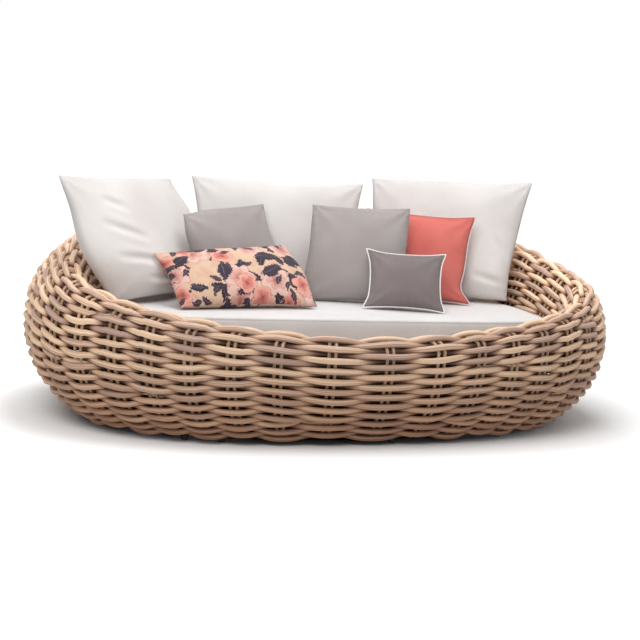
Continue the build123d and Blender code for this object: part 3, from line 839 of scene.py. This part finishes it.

# Setting. A white floor, painted dark brown under the belly as shade, with a painted glow for the camera that
# is left out near and behind the belly and is stronger on the left; a soft studio light from the front left
# and from above. The whole is seen from the front left at a low height.
floor_white = (0.86, 0.86, 0.86, 1)
floor_size = 30
floor_mesh = bmesh.new()
bmesh.ops.create_grid(floor_mesh, x_segments=1, y_segments=1, size=floor_size)
floor_data = bpy.data.meshes.new("floor")
floor_mesh.to_mesh(floor_data)
floor_mesh.free()
floor = bpy.data.objects.new("floor", floor_data)
bpy.context.scene.collection.objects.link(floor)
floor_paint, floor_tree, floor_shader = blank_finish("floor_paint")
floor_shader.inputs["Roughness"].default_value = 1
floor_shader.inputs["Specular IOR Level"].default_value = 0
ground = put(floor_tree, "SeparateXYZ", {0: put(floor_tree, "TexCoord").outputs["Object"]})
ground_x, ground_y = ground.outputs[0], ground.outputs[1]
half_depth = ranged(floor_tree, ground_y, 0.1, 0.4, 0.52, 0.68)
forward = reckon(floor_tree, "DIVIDE", reckon(floor_tree, "ADD", ground_y, -middle_y), half_depth)
away = reckon(floor_tree, "SQRT", reckon(floor_tree, "ADD", reckon(floor_tree, "POWER", ground_x, 2.0),
                                         reckon(floor_tree, "POWER", forward, 2.0)))
# Painted shade: the floor is dark brown under the belly and white beyond its edge.
floor_colour_with_painted_shade = laid_over(floor_tree, tint(84, 74, 66), floor_white, ranged(floor_tree, away, 0.8, 0.95))
floor_tree.links.new(floor_colour_with_painted_shade, floor_shader.inputs["Base Color"])
# Painted light and shadow: for camera rays the floor glows, not at all by the belly and more and more away
# from it, more on the left than on the right, and not behind the belly, where this leaves a painted shadow.
near = ranged(floor_tree, away, 0.94, 1.5, 0.0, 0.38)
open_floor = ranged(floor_tree, away, 1.5, 5.0, 0.0, 0.5)
brighter_to_left = ranged(floor_tree, ground_x, -1.2, 1.2, 1.7, 0.8)
beside = ranged(floor_tree, reckon(floor_tree, "ABSOLUTE", ground_x), 0.7, 1.08, way="SMOOTHSTEP")
before = ranged(floor_tree, ground_y, 0.2, 0.4, 1.0, 0.0)
beyond = ranged(floor_tree, ground_y, 0.65, 1.3, way="SMOOTHSTEP")
clear = reckon(floor_tree, "MAXIMUM", beyond, reckon(floor_tree, "MAXIMUM", beside, before))
near = reckon(floor_tree, "MULTIPLY", reckon(floor_tree, "MULTIPLY", near, brighter_to_left), clear)
camera_ray = put(floor_tree, "LightPath").outputs["Is Camera Ray"]
painted_floor_glow = put(floor_tree, "Emission", {"Color": (1, 1, 1, 1), "Strength": reckon(
    floor_tree, "MULTIPLY", camera_ray, reckon(floor_tree, "ADD", near, open_floor))})
both = put(floor_tree, "AddShader", {0: floor_shader.outputs[0], 1: painted_floor_glow.outputs[0]})
floor_tree.links.new(both.outputs[0], floor_tree.nodes["Material Output"].inputs["Surface"])
floor_data.materials.append(floor_paint)

studio_light = 0.37
lamp_target = Vector((0, 0, 0.4))
sky = bpy.data.worlds.new("studio")
bpy.context.scene.world = sky
sky.use_nodes = True
air = sky.node_tree.nodes["Background"]
ray = put(sky.node_tree, "LightPath")
seen = reckon(sky.node_tree, "MAXIMUM", ray.outputs["Is Camera Ray"], ray.outputs["Is Glossy Ray"])
strength = ranged(sky.node_tree, seen, 0.0, 1.0, studio_light, 1.0)
sky.node_tree.links.new(strength, air.inputs["Strength"])
air.inputs["Color"].default_value = (1, 1, 1, 1)


def softbox(name, place, size, power):
    """A soft lamp that faces the cushions."""
    lamp = bpy.data.lights.new(name, "AREA")
    lamp.shape, lamp.size, lamp.size_y, lamp.energy = "RECTANGLE", size[0], size[1], power
    holder = bpy.data.objects.new(name, lamp)
    bpy.context.scene.collection.objects.link(holder)
    holder.location = place
    holder.rotation_euler = (lamp_target - Vector(place)).to_track_quat("-Z", "Y").to_euler()


softbox("key", (-2.2, -3.2, 3.6), (2.6, 2.0), 92)
softbox("top", (0.2, 0.0, 3.4), (3.6, 2.0), 84)

camera_place = Vector((-1.4015, -4.7367, 1.1916))
camera_target = Vector((0, middle_y, 0.35))
camera_roll = math.radians(3.69)
photo_width = 640
camera_data = bpy.data.cameras.new("camera")
camera = bpy.data.objects.new("camera", camera_data)
bpy.context.scene.collection.objects.link(camera)
bpy.context.scene.camera = camera
ahead = (camera_target - camera_place).normalized()
right = ahead.cross(Vector((0, 0, 1))).normalized()
upward = right.cross(ahead)
rolled_right = right * math.cos(camera_roll) + upward * math.sin(camera_roll)
rolled_up = upward * math.cos(camera_roll) - right * math.sin(camera_roll)
turned = Matrix((rolled_right, rolled_up, -ahead)).transposed().to_4x4()
camera.matrix_world = Matrix.Translation(camera_place) @ turned
camera_data.lens, camera_data.sensor_width = 71.38, 36
camera_data.shift_x, camera_data.shift_y = -3.6 / photo_width, 5.6 / photo_width
camera_data.clip_start = 0.1
bpy.context.scene.view_settings.view_transform = "Standard"
